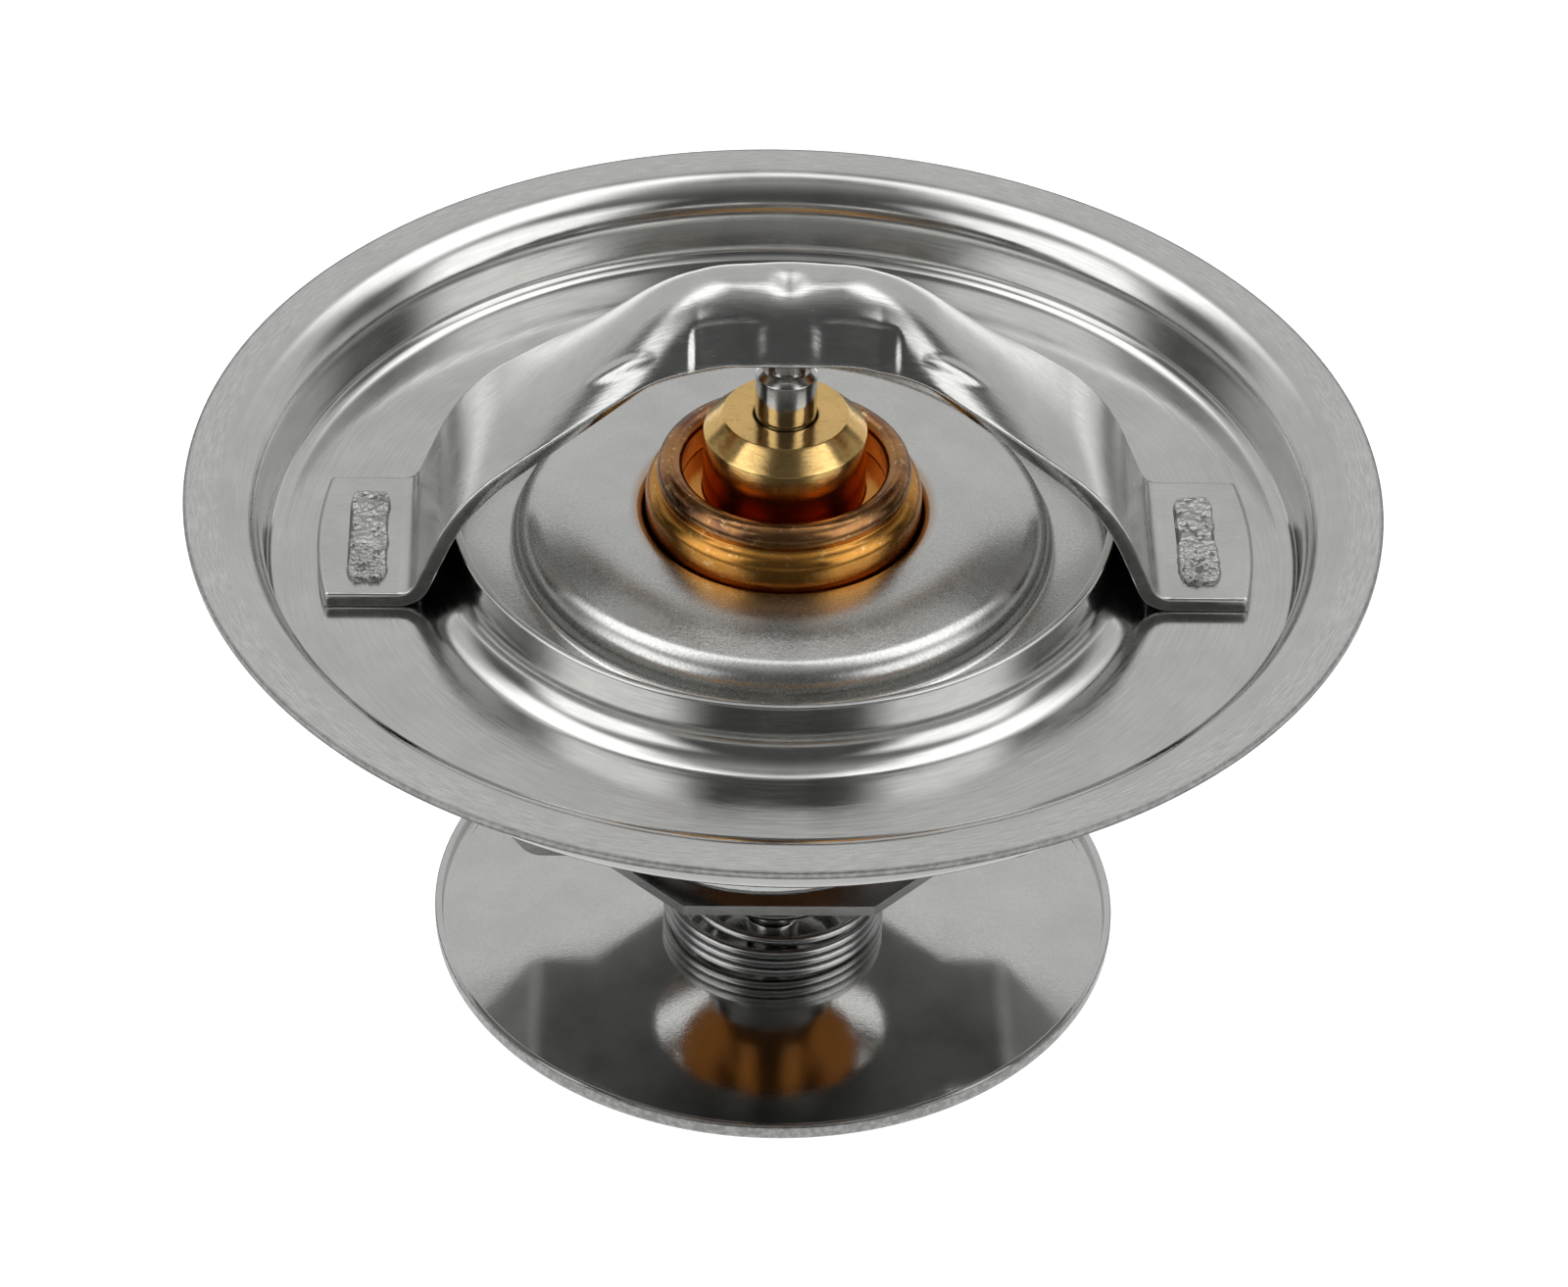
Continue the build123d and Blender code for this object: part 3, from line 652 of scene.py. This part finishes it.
PISTON = [(0.02, -17), (2.05, -17), (2.05, 9.2), (1.62, 9.65), (1.3, 9.65), (1.3, 15.6), (0.02, 15.6)]
PISTON_RADII = [0.4, 0.1, 0.06, 0.05, 0.15]
FLANGE_T, DISC_T, PLATE_T = 0.55, 0.8, 0.5
# Steps along the outlines and steps round the axis
FLANGE_STEP, PLATE_STEP, STEP = 0.22, 0.25, 0.2
SHEET_AROUND, TURNED_AROUND, PISTON_AROUND = 300, 160, 96

flange = sheet(FLANGE, FLANGE_RADII, FLANGE_T, FLANGE_STEP)
disc = sheet(DISC, DISC_RADII, DISC_T, STEP)
plate = sheet(PLATE, PLATE_RADII, PLATE_T, PLATE_STEP)
guide = rounded(GUIDE, GUIDE_RADII, STEP)
cup = rounded(CUP, CUP_RADII, STEP)
piston = rounded(PISTON, PISTON_RADII, STEP)
for name, outline, made, body, node, slot, around in (
    ("flange_sheet", flange, rim_steel, "frame", "flange_plate", "rim_steel", SHEET_AROUND),
    ("disc_sheet", disc, disc_steel, "valve", "valve_disc", "disc_steel", SHEET_AROUND),
    ("plate_sheet", plate, plate_steel, "bypass", "bypass_plate", "plate_steel", SHEET_AROUND),
    ("guide_turned", guide, brass, "valve", "piston_guide", "guide_brass", TURNED_AROUND),
    ("cup_drawn", cup, copper, "valve", "capsule_cup", "capsule_copper", TURNED_AROUND),
    ("piston_ground", piston, piston_steel, "frame", "piston", "piston_steel", PISTON_AROUND),
):
    stand_in(lathe(name, outline, made, around), node, body)

stand_in(bridge_mesh(), "upper_bridge", "frame")


# Upset tab heads: rough, hammered metal over the feet
SCAR_WIDE, SCAR_LONG, SCAR_SUNK, SCAR_HIGH = 48, 130, 0.06, 0.42


def scar(name, middle, half_wide, half_long, waist, seed):
    """Irregular flat lump with a waist, rough on top and roughest towards -Y."""
    verts, faces = [], []
    for i in range(SCAR_LONG + 1):
        b = 2 * i / SCAR_LONG - 1
        width = half_wide * (1 - waist * exp(-((b - 0.1) / 0.28) ** 2)) * (1 - abs(b) ** 9) ** 0.25
        width += 0.22 * noise.noise(Vector((seed, b * 4, 0.3))) * (1 - b**4)
        for j in range(SCAR_WIDE + 1):
            a = 2 * j / SCAR_WIDE - 1
            x, y = middle + a * width, b * half_long - 0.3
            place = Vector((x, y, seed))
            rough = noise.noise(place * 0.9) * 0.12 + noise.noise(place * 2.6) * 0.12
            rough += noise.noise(place * 6.5) * 0.06 * (2.0 if b < -0.2 else 0.8)
            border = min(1, (1 - abs(a)) * 9) * min(1, (1 - abs(b)) * 22)
            verts.append((x, y, FOOT_Z - SCAR_SUNK + (SCAR_HIGH + rough) * border))
    for i in range(SCAR_LONG):
        for j in range(SCAR_WIDE):
            low = i * (SCAR_WIDE + 1) + j
            faces.append((low, low + 1, low + SCAR_WIDE + 2, low + SCAR_WIDE + 1))
    head = mesh_object(name, verts, faces, scar_steel)
    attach(head, "frame")


scar("tab_head_left", -27.75, 1.38, 4.95, 0.05, 3.1)
scar("tab_head_right", 27.85, 1.42, 4.75, 0.2, 8.7)


# Floor far below, seen as white
FLOOR_Z, FLOOR_HALF, FLOOR_GLOW = -260, 3000, 0.6
ground, graph, shader = material("floor")
corners = [(x * FLOOR_HALF, y * FLOOR_HALF, FLOOR_Z) for x, y in ((-1, -1), (1, -1), (1, 1), (-1, 1))]
floor = mesh_object("floor", corners, [(0, 1, 2, 3)], ground)
shader["Base Color"].default_value = (0.9, 0.9, 0.9, 1)
shader["Roughness"].default_value = 0.9
shader["Emission Color"].default_value = (1, 1, 1, 1)
path = graph.node("ShaderNodeLightPath").outputs
reflected = graph.math("MAXIMUM", path["Is Glossy Ray"], path["Is Transmission Ray"])
seen = graph.math("MAXIMUM", path["Is Camera Ray"], reflected)
graph.put(shader["Emission Strength"], graph.math("MULTIPLY", seen, FLOOR_GLOW))

# Studio light: a world that is brighter at the back, with soft-edged bright and dark cards in it
FRONT_LEVEL, BACK_LEVEL = 0.08, 0.64
world = bpy.data.worlds.new("studio")
scene.world = world
world.use_nodes = True
graph = Graph(world.node_tree)
look = graph.vector("NORMALIZE", graph.node("ShaderNodeTexCoord").outputs["Generated"])


def toward(azimuth, elevation):
    """Direction with azimuth 0 at +Y and 90 at +X."""
    a, e = radians(azimuth), radians(elevation)
    return Vector((sin(a) * cos(e), cos(a) * cos(e), sin(e)))


def card(azimuth, elevation, half_wide, half_high, soft):
    """Mask of a soft-edged card seen in that direction, sizes in degrees."""
    middle = toward(azimuth, elevation)
    right = Vector((cos(radians(azimuth)), -sin(radians(azimuth)), 0))
    up = right.cross(middle)
    share = graph.ramp(graph.vector("DOT_PRODUCT", look, tuple(middle), out=1), 0.0, 0.05)
    for axis, half in ((right, half_wide), (up, half_high)):
        off = graph.math("ABSOLUTE", graph.vector("DOT_PRODUCT", look, tuple(axis), out=1))
        outer, inner = sin(radians(half + soft)), sin(radians(max(half - soft, 0)))
        share = graph.math("MULTIPLY", share, graph.ramp(off, inner, outer, 1.0, 0.0))
    return share


light = graph.ramp(graph.split(look)[1], -0.7, 0.55, FRONT_LEVEL, BACK_LEVEL)
# Azimuth, elevation, half width, half height and softness in degrees, and level
for *place, level in (
    (0, 70, 17, 20, 8, 0.25),
    (-84, 30, 16, 14, 9, 0.13),
    (84, 30, 16, 14, 9, 0.13),
    (-52, 63, 20, 13, 7, 1.9),
    (52, 63, 20, 13, 7, 1.9),
    (-120, 24, 20, 24, 8, 1.6),
    (120, 24, 20, 24, 8, 1.6),
):
    share = card(*place)
    rest = graph.math("MULTIPLY", light, graph.math("SUBTRACT", 1.0, share))
    light = graph.math("ADD", rest, graph.math("MULTIPLY", share, level))
back = graph.node("ShaderNodeBackground")
graph.put(back.inputs[0], (1, 1, 1, 1))
graph.put(back.inputs[1], light)
out = graph.node("ShaderNodeOutputWorld")
graph.tree.links.new(back.outputs[0], out.inputs[0])

# Camera at the photo's viewing angle
FOCAL_PX, IMAGE_WIDTH, SENSOR = 6384.35, 1600, 36
CAMERA_AT = (-10.79, -333.822, 251.014)
CAMERA_RIGHT, CAMERA_FORWARD = (0.99965, -0.01675, 0.02071), (0.02599, 0.78341, -0.62096)
camera = bpy.data.objects.new("camera", bpy.data.cameras.new("camera"))
scene.collection.objects.link(camera)
camera.data.sensor_width = SENSOR
camera.data.lens = FOCAL_PX / IMAGE_WIDTH * SENSOR
camera.data.clip_start = 0.01
right = Vector(CAMERA_RIGHT).normalized()
forward = Vector(CAMERA_FORWARD).normalized()
up = right.cross(forward).normalized()
turn = Matrix((right, up, -forward)).transposed().to_4x4()
camera.matrix_world = Matrix.Translation(Vector(CAMERA_AT) * MM) @ turn
scene.camera = camera
